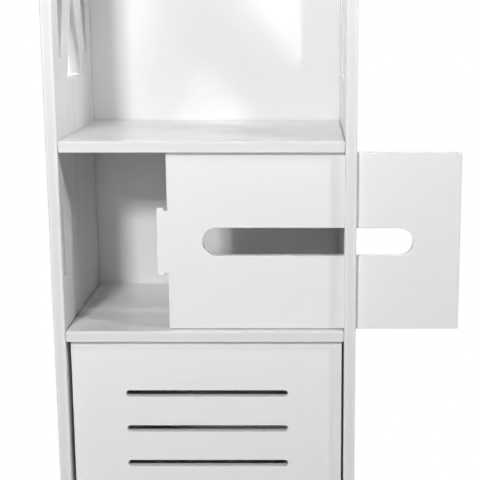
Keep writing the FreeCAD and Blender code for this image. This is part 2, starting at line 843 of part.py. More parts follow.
def cupboard_shelf():
    """Loose shelf in the cupboard, and the four pegs that it lies on."""
    body = new_body("cupboard_shelf", "0", front, cupboard_shelf_z)
    outline = new_sketch(body, "XY_Plane")
    half = f"({inner_width} / 2 - cupboard_shelf_gap)"
    back = f"{inner_depth} - cupboard_shelf_gap"
    draw_rectangle(outline, f"-{half}", "cupboard_shelf_setback", half, back)
    pad(body, outline, "board_thickness")
    bevel_edges(body, "board_edge_bevel")

    pegs = new_body("shelf_pins", "0", f"{front} + peg_front_inset", cupboard_shelf_z)
    tab = new_sketch(pegs, "XY_Plane")
    wall = f"-{inner_width} / 2"
    draw_rectangle(tab, wall, "-peg_tab_width / 2", f"{wall} + peg_tab_length", "peg_tab_width / 2")
    pad(pegs, tab, "peg_tab_thickness", True)
    stem = new_sketch(pegs, "YZ_Plane", wall)
    draw_circle(stem, "0", "-peg_diameter / 2", "peg_diameter")
    pad(pegs, stem, "peg_depth", True)
    repeat(pegs, "Y_Axis", peg_spacing, "2")
    mirror(pegs, "YZ_Plane")


def turned_pairs(label, points, depth, z, count):
    """Pieces turned about X from the left outer face inward, in a row and mirrored to the right."""
    body = new_body(label, "0", f"{front} + {depth}", z)
    profile = new_sketch(body, "XY_Plane")
    bind(profile, "AttachmentOffset.Base.x", "-cabinet_width / 2")
    draw_outline(profile, points)
    revolve(body, profile, "H_Axis")
    if count != "1":
        repeat(body, "Y_Axis", board_screw_spacing, count)
    mirror(body, "YZ_Plane")


def board_screws():
    """Countersunk screws through the side panels into each board, and the caps over them."""
    head = "screw_head_diameter / 2"
    shank = "screw_diameter / 2"
    neck = f"{head} - {shank}"
    tip = f"screw_length - {shank}"
    screw = [("0", "0"), ("0", head), (neck, shank), (tip, shank), ("screw_length", "0")]
    rim = "cap_diameter / 2"
    crown = "cap_crown_diameter / 2"
    cap = [("0", "0"), ("0", rim), ("-cap_rim_height", rim), ("-cap_height", crown), ("-cap_height", "0")]
    level = "board_thickness / 2"
    places = {
        "top_board": ("screw_front_inset", f"{niche_top} + {level}", "2"),
        "upper_shelf": ("screw_front_inset", f"{tissue_top} + {level}", "2"),
        "tissue_shelf": ("screw_front_inset", f"{cupboard_top} + {level}", "2"),
        "bottom_board": ("screw_front_inset", f"bottom_clearance + {level}", "2"),
        "plinth": (plinth_screw_inset, plinth_screw_z, "1"),
    }
    for name, (depth, z, count) in places.items():
        turned_pairs(f"{name}_screws", screw, depth, z, count)
        turned_pairs(f"{name}_caps", cap, depth, z, count)


def feet():
    """Glides under the four feet of the side panels, each with a stem pressed into the board."""
    for side, sign in (("left", "-1"), ("right", "1")):
        for end, way in (("front", "-1"), ("rear", "1")):
            x = f"{sign} * (cabinet_width - board_thickness) / 2"
            y = f"{way} * (cabinet_depth - foot_length) / 2"
            body = new_body(f"{end}_{side}_foot", x, y, "0")
            sole = new_sketch(body, "XY_Plane")
            half = "glide_width / 2"
            reach = "glide_length / 2"
            draw_rectangle(sole, f"-{half}", f"-{reach}", half, reach)
            pad(body, sole, "glide_height")
            round_edges(body, "glide_edge_radius", lambda edge: same(edge.BoundBox.ZMax, 0))
            stem = new_sketch(body, "XY_Plane", "glide_height")
            draw_circle(stem, "0", "0", "glide_stem_diameter")
            pad(body, stem, "glide_stem_length")


def check(pieces):
    """Stop on a failed object, a bad shape or a cut that took nothing away."""
    for thing in doc.Objects:
        if {"Invalid", "Error"} & set(thing.State):
            raise RuntimeError(f"{thing.Label} failed: {thing.State}")
        if thing.TypeId == "PartDesign::Pocket":
            if thing.Shape.Volume >= thing.BaseFeature.Shape.Volume:
                raise RuntimeError(f"{thing.Label} cuts nothing")
    for piece in pieces:
        if piece.Shape.isNull() or not piece.Shape.isValid() or not piece.Shape.Solids:
            raise RuntimeError(f"{piece.Label} has no sound solid")


def main():
    """Build every piece and write one STEP file for each."""
    side_panels()
    boards()
    plinth_board()
    back_panel()
    tissue_panel()
    door_panel()
    pivot_pins()
    pivot_bushes()
    door_knob()
    magnetic_catch()
    strike_plate()
    cupboard_shelf()
    board_screws()
    feet()
    doc.recompute()
    pieces = [thing for thing in doc.Objects if thing.TypeId == "PartDesign::Body"]
    check(pieces)
    os.makedirs("parts", exist_ok=True)
    for piece in pieces:
        piece.Shape.exportStep(f"parts/{piece.Label}.step")
        print(piece.Label, len(piece.Shape.Solids), round(piece.Shape.Volume, 1))


main()
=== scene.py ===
"""Looks of the slim bathroom cabinet.

Finishes for its boards and fittings, turned small parts, and a pale stage.
"""

import math

import bpy
import numpy as np
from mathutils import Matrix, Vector


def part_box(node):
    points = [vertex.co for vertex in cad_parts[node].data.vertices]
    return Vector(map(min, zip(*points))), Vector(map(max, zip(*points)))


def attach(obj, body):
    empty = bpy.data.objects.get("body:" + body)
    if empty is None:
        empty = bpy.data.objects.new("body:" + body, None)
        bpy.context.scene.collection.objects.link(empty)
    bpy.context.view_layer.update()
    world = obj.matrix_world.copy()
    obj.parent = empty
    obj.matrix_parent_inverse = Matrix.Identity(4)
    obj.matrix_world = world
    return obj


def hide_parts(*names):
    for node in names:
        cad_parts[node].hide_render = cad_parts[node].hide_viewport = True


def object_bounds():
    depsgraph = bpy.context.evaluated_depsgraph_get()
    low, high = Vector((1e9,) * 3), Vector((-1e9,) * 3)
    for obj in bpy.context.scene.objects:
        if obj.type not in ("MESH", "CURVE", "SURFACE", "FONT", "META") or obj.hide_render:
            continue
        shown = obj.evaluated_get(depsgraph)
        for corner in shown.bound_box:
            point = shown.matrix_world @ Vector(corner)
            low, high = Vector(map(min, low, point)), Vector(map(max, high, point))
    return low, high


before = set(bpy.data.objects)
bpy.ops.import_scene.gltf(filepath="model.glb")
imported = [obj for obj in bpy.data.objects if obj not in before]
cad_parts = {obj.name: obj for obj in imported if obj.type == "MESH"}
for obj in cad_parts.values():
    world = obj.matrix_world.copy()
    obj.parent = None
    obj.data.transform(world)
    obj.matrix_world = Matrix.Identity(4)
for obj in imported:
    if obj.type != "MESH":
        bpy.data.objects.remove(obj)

cad_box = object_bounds()
screwed_boards = ("top_board", "upper_shelf", "tissue_shelf", "bottom_board", "plinth")

bl_info = {
    "name": "Bathroom cabinet",
    "version": (1, 0, 0),
    "blender": (4, 5, 0),
    "location": "View3D > Sidebar > Cabinet",
    "description": "Dresses the packed bathroom cabinet and sets its stage",
    "category": "Object",
}


class CabinetFinish(bpy.types.PropertyGroup):
    """Colours and grain of the cabinet's boards, sheets, plastics and metals."""

    board_white: bpy.props.FloatVectorProperty(
        name="Board white",
        description="Skin of the foamed boards",
        subtype="COLOR",
        size=4,
        min=0.0,
        max=1.0,
        default=(0.8, 0.8, 0.798, 1.0),
    )
    sheet_white: bpy.props.FloatVectorProperty(
        name="Sheet white",
        description="Skin of the tissue panel, the door and the back panel",
        subtype="COLOR",
        size=4,
        min=0.0,
        max=1.0,
        default=(0.81, 0.81, 0.808, 1.0),
    )
    core_white: bpy.props.FloatVectorProperty(
        name="Core white",
        description="Foamed core that shows in the middle of a sawn edge",
        subtype="COLOR",
        size=4,
        min=0.0,
        max=1.0,
        default=(0.73, 0.728, 0.72, 1.0),
    )
    # Besides wear and dust, this tone also gives the painted shade in the open cells of sawn board
    # edges.
    wear_and_shade_grey: bpy.props.FloatVectorProperty(
        name="Rubbed grey",
        description="Tone that handled edges and dusty faces go towards",
        subtype="COLOR",
        size=4,
        min=0.0,
        max=1.0,
        default=(0.62, 0.61, 0.59, 1.0),
    )
    gloss_white: bpy.props.FloatVectorProperty(
        name="Gloss white",
        description="Moulded plastic of the knob and the screw caps",
        subtype="COLOR",
        size=4,
        min=0.0,
        max=1.0,
        default=(0.84, 0.84, 0.82, 1.0),
    )
    nylon_white: bpy.props.FloatVectorProperty(
        name="Nylon white",
        description="Bushes, pegs and the catch's case",
        subtype="COLOR",
        size=4,
        min=0.0,
        max=1.0,
        default=(0.78, 0.77, 0.73, 1.0),
    )
    glide_grey: bpy.props.FloatVectorProperty(
        name="Glide grey",
        description="Soft plastic of the glides",
        subtype="COLOR",
        size=4,
        min=0.0,
        max=1.0,
        default=(0.42, 0.42, 0.41, 1.0),
    )
    peel_length: bpy.props.FloatProperty(
        name="Peel length",
        description="Distance between the faint waves of the boards' skin",
        unit="LENGTH",
        default=0.0016,
        min=0.0002,
    )
    draw_spacing: bpy.props.FloatProperty(
        name="Draw spacing",
        description="Distance between the long waves that run along an extruded board",
        unit="LENGTH",
        default=0.046,
        min=0.005,
    )
    cell_size: bpy.props.FloatProperty(
        name="Cell size",
        description="Size of the open cells in a sawn edge",
        unit="LENGTH",
        default=0.0005,
        min=0.0001,
    )
    rub_width: bpy.props.FloatProperty(
        name="Rub width",
        description="Width of the rubbed strip along a board's edges",
        unit="LENGTH",
        default=0.0022,
        min=0.0002,
    )


class CabinetFittings(bpy.types.PropertyGroup):
    """Sizes of the small turned parts."""

    cap_rim: bpy.props.FloatProperty(
        name="Cap rim",
        description="Height of the straight rim under a cap's dome",
        unit="LENGTH",
        default=0.0005,
        min=0.0,
    )
    cap_dimple: bpy.props.FloatProperty(
        name="Cap dimple",
        description="Depth of the moulding mark in the middle of a cap",
        unit="LENGTH",
        default=0.00012,
        min=0.0,
    )
    knob_waist: bpy.props.FloatProperty(
        name="Knob waist",
        description="Radius of the knob's neck where it is thinnest",
        unit="LENGTH",
        default=0.0053,
        min=0.003,
    )
    knob_dish: bpy.props.FloatProperty(
        name="Knob dish",
        description="Depth of the shallow dish in the knob's face",
        unit="LENGTH",
        default=0.0007,
        min=0.0,
    )
    recess_width: bpy.props.FloatProperty(
        name="Recess width",
        description="Width of an arm of the cross recess, as a share of the head's radius",
        subtype="FACTOR",
        default=0.24,
        min=0.05,
        max=0.6,
    )
    recess_depth: bpy.props.FloatProperty(
        name="Recess depth",
        description="Depth of the cross recess, as a share of the head's height",
        subtype="FACTOR",
        default=0.62,
        min=0.1,
        max=0.9,
    )
    thread_pitch: bpy.props.FloatProperty(
        name="Thread pitch",
        description="Rise of the screws' thread in one turn",
        unit="LENGTH",
        default=0.0014,
        min=0.0003,
    )


class CabinetStage(bpy.types.PropertyGroup):
    """Camera, lamps and floor."""

    eye: bpy.props.FloatVectorProperty(
        name="Eye",
        description="Where the camera stands",
        subtype="TRANSLATION",
        unit="LENGTH",
        size=3,
        default=(0.0808, -0.9342, 0.5806),
    )
    pitch: bpy.props.FloatProperty(
        name="Pitch",
        description="How far the camera looks down",
        subtype="ANGLE",
        default=math.radians(11.13),
    )
    lens: bpy.props.FloatProperty(
        name="Lens",
        description="Focal length on a sensor 36 mm wide, in millimetres",
        default=83.86,
        min=10.0,
    )
    shift: bpy.props.FloatVectorProperty(
        name="Shift",
        description="Sideways and upward shift of the frame, in frame widths",
        size=2,
        default=(-0.138, -0.05),
    )
    key_watts: bpy.props.FloatProperty(
        name="Key lamp",
        description="Power of the lamp in front, a little to the left",
        unit="POWER",
        default=10.8,
        min=0.0,
    )
    side_watts: bpy.props.FloatProperty(
        name="Side lamp",
        description="Power of the small lamp on the right, in front",
        unit="POWER",
        default=3.9,
        min=0.0,
    )
    niche_watts: bpy.props.FloatProperty(
        name="Niche lamp",
        description="Power of the narrow lamp on the right that looks into the open niche",
        unit="POWER",
        default=0.2,
        min=0.0,
    )
    fill_watts: bpy.props.FloatProperty(
        name="Fill lamp",
        description="Power of the wide low lamp in front",
        unit="POWER",
        default=6.2,
        min=0.0,
    )
    left_watts: bpy.props.FloatProperty(
        name="Left lamp",
        description="Power of the wide lamp on the left, behind the front plane",
        unit="POWER",
        default=46.0,
        min=0.0,
    )
    rear_watts: bpy.props.FloatProperty(
        name="Rear lamp",
        description="Power of the wide lamp behind",
        unit="POWER",
        default=50.0,
        min=0.0,
    )
    sky: bpy.props.FloatProperty(
        name="Sky",
        description="Strength of the even light from all round",
        default=0.0,
        min=0.0,
    )
    floor_radius: bpy.props.FloatProperty(
        name="Floor radius",
        description="Radius of the floor",
        unit="LENGTH",
        default=6.0,
        min=1.0,
    )


def place(tree, kind, inputs=None, **settings):
    """A node of a kind, with its settings, and its inputs set to numbers or linked to sockets."""
    node = tree.nodes.new(kind)
    for name, setting in settings.items():
        setattr(node, name, setting)
    for key, given in (inputs or {}).items():
        if isinstance(given, bpy.types.NodeSocket):
            tree.links.new(given, node.inputs[key])
        else:
            node.inputs[key].default_value = given
    return node


def calc(tree, operation, *values):
    """Output of a Math node on up to three values."""
    return place(tree, "ShaderNodeMath", dict(enumerate(values)), operation=operation).outputs[0]


def vector_calc(tree, operation, *values, result=0):
    """Output of a Vector Math node on up to two vectors."""
    node = place(tree, "ShaderNodeVectorMath", dict(enumerate(values)), operation=operation)
    return node.outputs[result]


def ease(tree, value, low, high, start=0.0, end=1.0):
    """A smooth step of a value from start at low to end at high."""
    inputs = {"Value": value, "From Min": low, "From Max": high, "To Min": start, "To Max": end}
    node = place(tree, "ShaderNodeMapRange", inputs, interpolation_type="SMOOTHSTEP")
    return node.outputs["Result"]


def tint(tree, share, first, second):
    """A colour between two others, by a share that changes over the surface."""
    inputs = {0: share, 6: first, 7: second}
    return place(tree, "ShaderNodeMix", inputs, data_type="RGBA").outputs[2]


def cloud(tree, position, scale, detail=2.0, roughness=0.5):
    """Value of a soft noise."""
    inputs = {"Vector": position, "Scale": scale, "Detail": detail, "Roughness": roughness}
    return place(tree, "ShaderNodeTexNoise", inputs).outputs[0]


def stretched(tree, position, scale):
    """A position scaled along each axis, which stretches or presses a noise."""
    return place(tree, "ShaderNodeMapping", {"Vector": position, "Scale": scale}).outputs[0]


def seen_rays(tree):
    """One for rays of the camera, of reflections and through clear things, in a tree."""
    rays = tree.nodes.new("ShaderNodeLightPath").outputs
    seen = calc(tree, "MAXIMUM", rays["Is Camera Ray"], rays["Is Glossy Ray"])
    return calc(tree, "MAXIMUM", seen, rays["Is Transmission Ray"])


def shared_group(name, inputs, outputs):
    """An empty node group with named sockets, its input node and its output node."""
    tree = bpy.data.node_groups.new(name, "ShaderNodeTree")
    for label, kind in inputs.items():
        tree.interface.new_socket(label, in_out="INPUT", socket_type=kind)
    for label in outputs:
        tree.interface.new_socket(label, in_out="OUTPUT", socket_type="NodeSocketFloat")
    return tree, tree.nodes.new("NodeGroupInput").outputs, tree.nodes.new("NodeGroupOutput").inputs


def build_cut_edge():
    """Where a board's sawn edge shows, and the foamed core in the middle of it.

    Cut is one where the face does not look along the board's thickness. Core is the cut
    where the distance from the middle plane is less than about half of the half thickness.
    """
    tree, given, out = shared_group(
        "Cut edge",
        {
            "Position": "NodeSocketVector",
            "Facing": "NodeSocketVector",
            "Across": "NodeSocketVector",
            "Middle": "NodeSocketFloat",
            "Half thickness": "NodeSocketFloat",
        },
        ("Cut", "Core"),
    )
    turned = vector_calc(tree, "DOT_PRODUCT", given["Facing"], given["Across"], result=1)
    cut = ease(tree, calc(tree, "ABSOLUTE", turned), 0.35, 0.8, 1.0, 0.0)
    along = vector_calc(tree, "DOT_PRODUCT", given["Position"], given["Across"], result=1)
    away = calc(tree, "ABSOLUTE", calc(tree, "SUBTRACT", along, given["Middle"]))
    inside = ease(tree, calc(tree, "DIVIDE", away, given["Half thickness"]), 0.3, 0.85, 1.0, 0.0)
    tree.links.new(cut, out["Cut"])
    tree.links.new(calc(tree, "MULTIPLY", cut, inside), out["Core"])


def build_skin():
    """Faint waves of an extruded skin, slow patches of tone and gloss, and long waves.

    Height is a soft noise at the wave length with a third of one twice as fine added.
    Patch is a slow noise over a hand's width, stretched upright as the sheet is extruded.
    Draw is a slow noise pressed into long waves that run with the board.
    """
    tree, given, out = shared_group(
        "Extruded skin",
        {
            "Position": "NodeSocketVector",
            "Wave length": "NodeSocketFloat",
            "Draw scale": "NodeSocketVector",
        },
        ("Height", "Patch", "Draw"),
    )
    scale = calc(tree, "DIVIDE", 1.0, given["Wave length"])
    coarse = cloud(tree, given["Position"], scale, 1.0)
    fine = cloud(tree, given["Position"], calc(tree, "MULTIPLY", scale, 2.3), 2.0)
    upright = stretched(tree, given["Position"], (1.0, 1.0, 0.35))
    pressed = stretched(tree, given["Position"], given["Draw scale"])
    tree.links.new(calc(tree, "MULTIPLY_ADD", fine, 0.34, coarse), out["Height"])
    tree.links.new(cloud(tree, upright, 17.0, 3.0, 0.55), out["Patch"])
    tree.links.new(cloud(tree, pressed, 1.0, 1.0, 0.4), out["Draw"])


def build_cells():
    """Open cells of a sawn foam edge: round pits at cell points, thinned out by a soft noise."""
    tree, given, out = shared_group(
        "Foam cells",
        {"Position": "NodeSocketVector", "Cell size": "NodeSocketFloat"},
        ("Pits",),
    )
    scale = calc(tree, "DIVIDE", 1.0, given["Cell size"])
    cells = place(tree, "ShaderNodeTexVoronoi", {"Vector": given["Position"], "Scale": scale})
    pit = ease(tree, cells.outputs["Distance"], 0.12, 0.5, 1.0, 0.0)
    thinning = cloud(tree, given["Position"], calc(tree, "MULTIPLY", scale, 0.21))
    some = ease(tree, thinning, 0.42, 0.62)
    tree.links.new(calc(tree, "MULTIPLY", pit, some), out["Pits"])


def build_rub():
    """Wear along the edges of a board's box.

    The distances to the box's three pairs of faces are taken, and the second smallest is
    the distance to the nearest edge. Rub falls from one at the edge to none at the width,
    and a noise breaks it up.
    """
    tree, given, out = shared_group(
        "Edge rub",
        {
            "Position": "NodeSocketVector",
            "Centre": "NodeSocketVector",
            "Half size": "NodeSocketVector",
            "Width": "NodeSocketFloat",
        },
        ("Rub",),
    )
    offset = vector_calc(tree, "SUBTRACT", given["Position"], given["Centre"])
    offset = vector_calc(tree, "ABSOLUTE", offset)
    inset = vector_calc(tree, "SUBTRACT", given["Half size"], offset)
    depth = place(tree, "ShaderNodeSeparateXYZ", {0: inset}).outputs
    nearer = calc(tree, "MINIMUM", depth[0], depth[1])
    farther = calc(tree, "MAXIMUM", depth[0], depth[1])
    second = calc(tree, "MAXIMUM", nearer, calc(tree, "MINIMUM", farther, depth[2]))
    near = ease(tree, second, 0.0, given["Width"], 1.0, 0.0)
    patches = ease(tree, cloud(tree, given["Position"], 85.0, 4.0, 0.65), 0.45, 0.75)
    tree.links.new(calc(tree, "MULTIPLY", near, patches), out["Rub"])


def build_dust():
    """Dust that settles on faces that look up, thicker and thinner by a soft noise."""
    tree, given, out = shared_group(
        "Settled dust",
        {"Position": "NodeSocketVector", "Facing": "NodeSocketVector"},
        ("Dust",),
    )
    upward = place(tree, "ShaderNodeSeparateXYZ", {0: given["Facing"]}).outputs["Z"]
    level = ease(tree, upward, 0.6, 0.95)
    drift = ease(tree, cloud(tree, given["Position"], 42.0, 4.0, 0.6), 0.3, 0.75, 0.35, 1.0)
    tree.links.new(calc(tree, "MULTIPLY", level, drift), out["Dust"])


def build_touch():
    """Finger marks round a place that is held, which fade with the distance from it."""
    tree, given, out = shared_group(
        "Finger marks",
        {"Position": "NodeSocketVector", "Held": "NodeSocketVector", "Reach": "NodeSocketFloat"},
        ("Marks",),
    )
    away = vector_calc(tree, "DISTANCE", given["Position"], given["Held"], result=1)
    near = ease(tree, calc(tree, "DIVIDE", away, given["Reach"]), 0.25, 1.0, 1.0, 0.0)
    prints = ease(tree, cloud(tree, given["Position"], 75.0, 2.0, 0.4), 0.4, 0.74)
    tree.links.new(calc(tree, "MULTIPLY", near, prints), out["Marks"])


def build_drawn():
    """Fine lines of drawn or rolled metal: a noise pressed flat across the lines."""
    tree, given, out = shared_group(
        "Drawn lines",
        {"Position": "NodeSocketVector", "Stretch": "NodeSocketVector"},
        ("Lines", "Stain"),
    )
    pressed = stretched(tree, given["Position"], given["Stretch"])
    tree.links.new(cloud(tree, pressed, 1.0, 4.0, 0.7), out["Lines"])
    tree.links.new(cloud(tree, given["Position"], 160.0, 3.0, 0.6), out["Stain"])


def use_group(tree, name, inputs):
    """Outputs of a shared group placed in a material."""
    group = bpy.data.node_groups[name]
    return place(tree, "ShaderNodeGroup", inputs, node_tree=group).outputs


def new_finish(name, ior=1.5, metallic=0.0):
    """A material with its tree, its shader, and the surface's position and facing."""
    material = bpy.data.materials.new(name)
    material.use_nodes = True
    tree = material.node_tree
    shader = tree.nodes["Principled BSDF"]
    shader.inputs["IOR"].default_value = ior
    shader.inputs["Metallic"].default_value = metallic
    surface = tree.nodes.new("ShaderNodeTexCoord").outputs
    return material, tree, shader, surface["Object"], surface["Normal"]


def join(tree, shader, colour, roughness, height, strength, distance):
    """Links a colour, a roughness and a bump's height to a shader."""
    relief = {"Height": height, "Strength": strength, "Distance": distance}
    bump = place(tree, "ShaderNodeBump", relief)
    tree.links.new(colour, shader.inputs["Base Color"])
    tree.links.new(roughness, shader.inputs["Roughness"])
    tree.links.new(bump.outputs["Normal"], shader.inputs["Normal"])


def board_finish(node, across, skin, gloss, held, reach, draw=0.0):
    """Foamed board: satin skin, sawn edges with a duller core, rub, dust, finger marks, and
    painted shade in the open cells of the sawn edges.
    """
    finish = bpy.context.scene.cabinet_finish
    low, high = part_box(node)
    centre = (low + high) / 2
    half = (high - low) / 2
    axis = "XYZ".index(across)
    direction = [float(side == axis) for side in range(3)]
    longest = max(range(3), key=lambda side: half[side])
    run_share = [0.1 if side == longest else 1.0 for side in range(3)]
    material, tree, shader, position, facing = new_finish(f"{node}_finish", ior=1.47)

    edge = use_group(
        tree,
        "Cut edge",
        {
            "Position": position,
            "Facing": facing,
            "Across": direction,
            "Middle": centre[axis],
            "Half thickness": half[axis],
        },
    )
    waves = use_group(
        tree,
        "Extruded skin",
        {
            "Position": position,
            "Wave length": finish.peel_length,
            "Draw scale": [share / finish.draw_spacing for share in run_share],
        },
    )
    cells = use_group(tree, "Foam cells", {"Position": position, "Cell size": finish.cell_size})
    rub = use_group(
        tree,
        "Edge rub",
        {"Position": position, "Centre": centre, "Half size": half, "Width": finish.rub_width},
    )["Rub"]
    dust = use_group(tree, "Settled dust", {"Position": position, "Facing": facing})["Dust"]
    touch = {"Position": position, "Held": held, "Reach": reach}
    marks = use_group(tree, "Finger marks", touch)["Marks"]
    # Open cells of the sawn edges: their grey is painted shade in the pits, and their dip is a
    # real bump.
    pits = calc(tree, "MULTIPLY", cells["Pits"], edge["Cut"])

    colour = tint(tree, edge["Core"], skin, finish.core_white)
    # The pits entry greys the colour as painted shade in the open cells. The other entries are
    # tone, wear, dust and finger marks.
    greying = ((waves["Patch"], 0.06), (rub, 0.12), (dust, 0.07), (marks, 0.05), (pits, 0.18))
    for mask, most in greying:
        colour = tint(tree, calc(tree, "MULTIPLY", mask, most), colour, finish.wear_and_shade_grey)
    roughness = gloss - 0.04
    dulling = ((waves["Patch"], 0.08), (edge["Cut"], 0.16), (dust, 0.03), (marks, -0.02))
    for mask, change in dulling:
        roughness = calc(tree, "MULTIPLY_ADD", mask, change, roughness)
    height = calc(tree, "MULTIPLY_ADD", pits, -2.0, waves["Height"])
    height = calc(tree, "MULTIPLY_ADD", waves["Draw"], draw, height)
    join(tree, shader, colour, roughness, height, strength=0.1, distance=0.0002)
    return material


def plastic_finish(name, base, grey, gloss, wave):
    """Moulded plastic: flow marks in the gloss, a faint grain and slow changes of tone."""
    material, tree, shader, position, facing = new_finish(name, ior=1.49)
    flow = use_group(tree, "Extruded skin", {"Position": position, "Wave length": wave})
    dust = use_group(tree, "Settled dust", {"Position": position, "Facing": facing})["Dust"]
    colour = tint(tree, calc(tree, "MULTIPLY", flow["Patch"], 0.1), base, grey)
    colour = tint(tree, calc(tree, "MULTIPLY", dust, 0.06), colour, grey)
    roughness = calc(tree, "MULTIPLY_ADD", flow["Height"], 0.12, gloss - 0.08)
    roughness = calc(tree, "MULTIPLY_ADD", dust, 0.12, roughness)
    join(tree, shader, colour, roughness, flow["Height"], strength=0.06, distance=0.0001)
    return material


def metal_finish(name, bright, dull, stretch, gloss):
    """Metal: fine drawn lines in tone, gloss and height, with dull stains."""
    material, tree, shader, position, _ = new_finish(name, metallic=1.0)
    drawn = use_group(tree, "Drawn lines", {"Position": position, "Stretch": stretch})
    stain = ease(tree, drawn["Stain"], 0.42, 0.7)
    colour = tint(tree, calc(tree, "MULTIPLY", drawn["Lines"], 0.5), bright, dull)
    colour = tint(tree, calc(tree, "MULTIPLY", stain, 0.45), colour, dull)
    roughness = calc(tree, "MULTIPLY_ADD", drawn["Lines"], 0.22, gloss - 0.1)
    roughness = calc(tree, "MULTIPLY_ADD", stain, 0.12, roughness)
    join(tree, shader, colour, roughness, drawn["Lines"], strength=0.15, distance=0.0001)
    return material


def ferrite_finish():
    """Pressed ferrite: near black, with grey grains and small chips."""
    near_black = (0.018, 0.018, 0.019, 1.0)
    grain_grey = (0.09, 0.09, 0.095, 1.0)
    chip_grey = (0.14, 0.13, 0.125, 1.0)
    material, tree, shader, position, _ = new_finish("ferrite_finish", ior=2.2)
    grains = cloud(tree, position, 2600.0, 3.0, 0.7)
    chips = use_group(tree, "Foam cells", {"Position": position, "Cell size": 0.0009})["Pits"]
    colour = tint(tree, ease(tree, grains, 0.4, 0.75), near_black, grain_grey)
    colour = tint(tree, calc(tree, "MULTIPLY", chips, 0.5), colour, chip_grey)
    roughness = calc(tree, "MULTIPLY_ADD", grains, 0.3, 0.4)
    height = calc(tree, "MULTIPLY_ADD", chips, -1.5, grains)
    join(tree, shader, colour, roughness, height, strength=0.2, distance=0.0001)
    return material


def dress(node, material):
    """Gives a CAD node a finish in each of its material slots."""
    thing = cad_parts[node]
    if not thing.material_slots:
        thing.data.materials.append(material)
    for slot in thing.material_slots:
        slot.material = material


def ring_faces(rings, steps, start):
    """Faces of rings of points joined in order round and along, as an array of four corners."""
    along, around = np.meshgrid(np.arange(rings - 1), np.arange(steps), indexing="ij")
    after = (around + 1) % steps
    first = start + along * steps
    second = first + steps
    corners = np.stack([first + around, first + after, second + after, second + around], axis=-1)
    return corners.reshape(-1, 4)


def pole_faces(pole, ring, steps, outward):
    """Triangles between a pole and the ring next to it."""
    around = np.arange(steps)
    after = (around + 1) % steps
    centre = np.full(steps, pole)
    sides = (ring + after, ring + around) if outward else (ring + around, ring + after)
    return np.stack([centre, *sides], axis=-1)


def turned_points(radius, along):
    """Points of rings about the third axis.

    The radius and the height of each point are two arrays of rings by steps round a turn.
    """
    steps = radius.shape[1]
    angle = np.arange(steps) * 2.0 * np.pi / steps
    return np.stack([radius * np.cos(angle), radius * np.sin(angle), along], axis=-1)


def shell(radius, along):
    """Points and faces of a closed turned shell whose first and last rings are its poles."""
    points = turned_points(radius, along)
    steps = points.shape[1]
    rings = points[1:-1]
    body = rings.reshape(-1, 3)
    poles = np.stack([points[0].mean(axis=0), points[-1].mean(axis=0)])
    count = len(body)
    quads = ring_faces(len(rings), steps, 0)
    ends = np.concatenate(
        [
            pole_faces(count, 0, steps, True),
            pole_faces(count + 1, count - steps, steps, False),
        ]
    )
    return np.concatenate([body, poles]), quads, ends


def set_shell(radius, along, axis, foot):
    """A closed turned shell whose third axis runs along a signed axis from a foot point."""
    points, quads, ends = shell(radius, along)
    turn = Vector(axis).to_track_quat("Z", "Y").to_matrix()
    return points @ np.array(turn).T + np.array(foot), quads, ends


def turned_shell(rings, heights, steps, axis, foot):
    """A shell turned from a profile of radii and heights, with a number of steps round it."""
    radius = np.repeat(rings[:, None], steps, axis=1)
    along = np.repeat(heights[:, None], steps, axis=1)
    return set_shell(radius, along, axis, foot)


def new_piece(name, shells, material, crease):
    """One mesh object of several shells, smooth except at edges sharper than the crease."""
    points = []
    faces = []
    start = 0
    for corners, quads, ends in shells:
        points.append(corners)
        faces.extend((quads + start).tolist())
        faces.extend((ends + start).tolist())
        start += len(corners)
    mesh = bpy.data.meshes.new(name)
    mesh.from_pydata(np.concatenate(points).tolist(), [], faces)
    mesh.polygons.foreach_set("use_smooth", np.ones(len(faces), dtype=bool))
    mesh.set_sharp_from_angle(angle=math.radians(crease))
    mesh.update()
    mesh.validate()
    mesh.materials.append(material)
    piece = bpy.data.objects.new(name, mesh)
    bpy.context.scene.collection.objects.link(piece)
    return piece


def cap_shell(foot, axis, radius, height, rim, dimple):
    """A cap: a straight rim, a dome of an ellipse's quarter, and a bell-curve dimple in it."""
    steps = 40
    dome_rings = 14
    dimple_radius = 0.22 * radius
    inner_foot = radius * 0.98
    lift = np.linspace(0.0, np.pi / 2.0, dome_rings)
    dome_radius = radius * np.cos(lift)
    dome_height = rim + (height - rim) * np.sin(lift)
    dome_height = dome_height - dimple * np.exp(-((dome_radius / dimple_radius) ** 2))
    rings = np.concatenate([[0.0, inner_foot, radius], dome_radius])
    heights = np.concatenate([[0.0, 0.0, 0.0], dome_height])
    return turned_shell(rings, heights, steps, axis, foot)


def cross(across, along, width, reach):
    """One inside a cross of two arms, none outside it, with soft walls."""
    soft = 0.06 * reach
    arm = np.minimum(np.abs(across), np.abs(along))
    length = np.maximum(np.abs(across), np.abs(along))
    wall = np.clip((width / 2.0 - arm) / soft + 0.5, 0.0, 1.0)
    end = np.clip((reach - length) / soft + 0.5, 0.0, 1.0)
    return wall * end


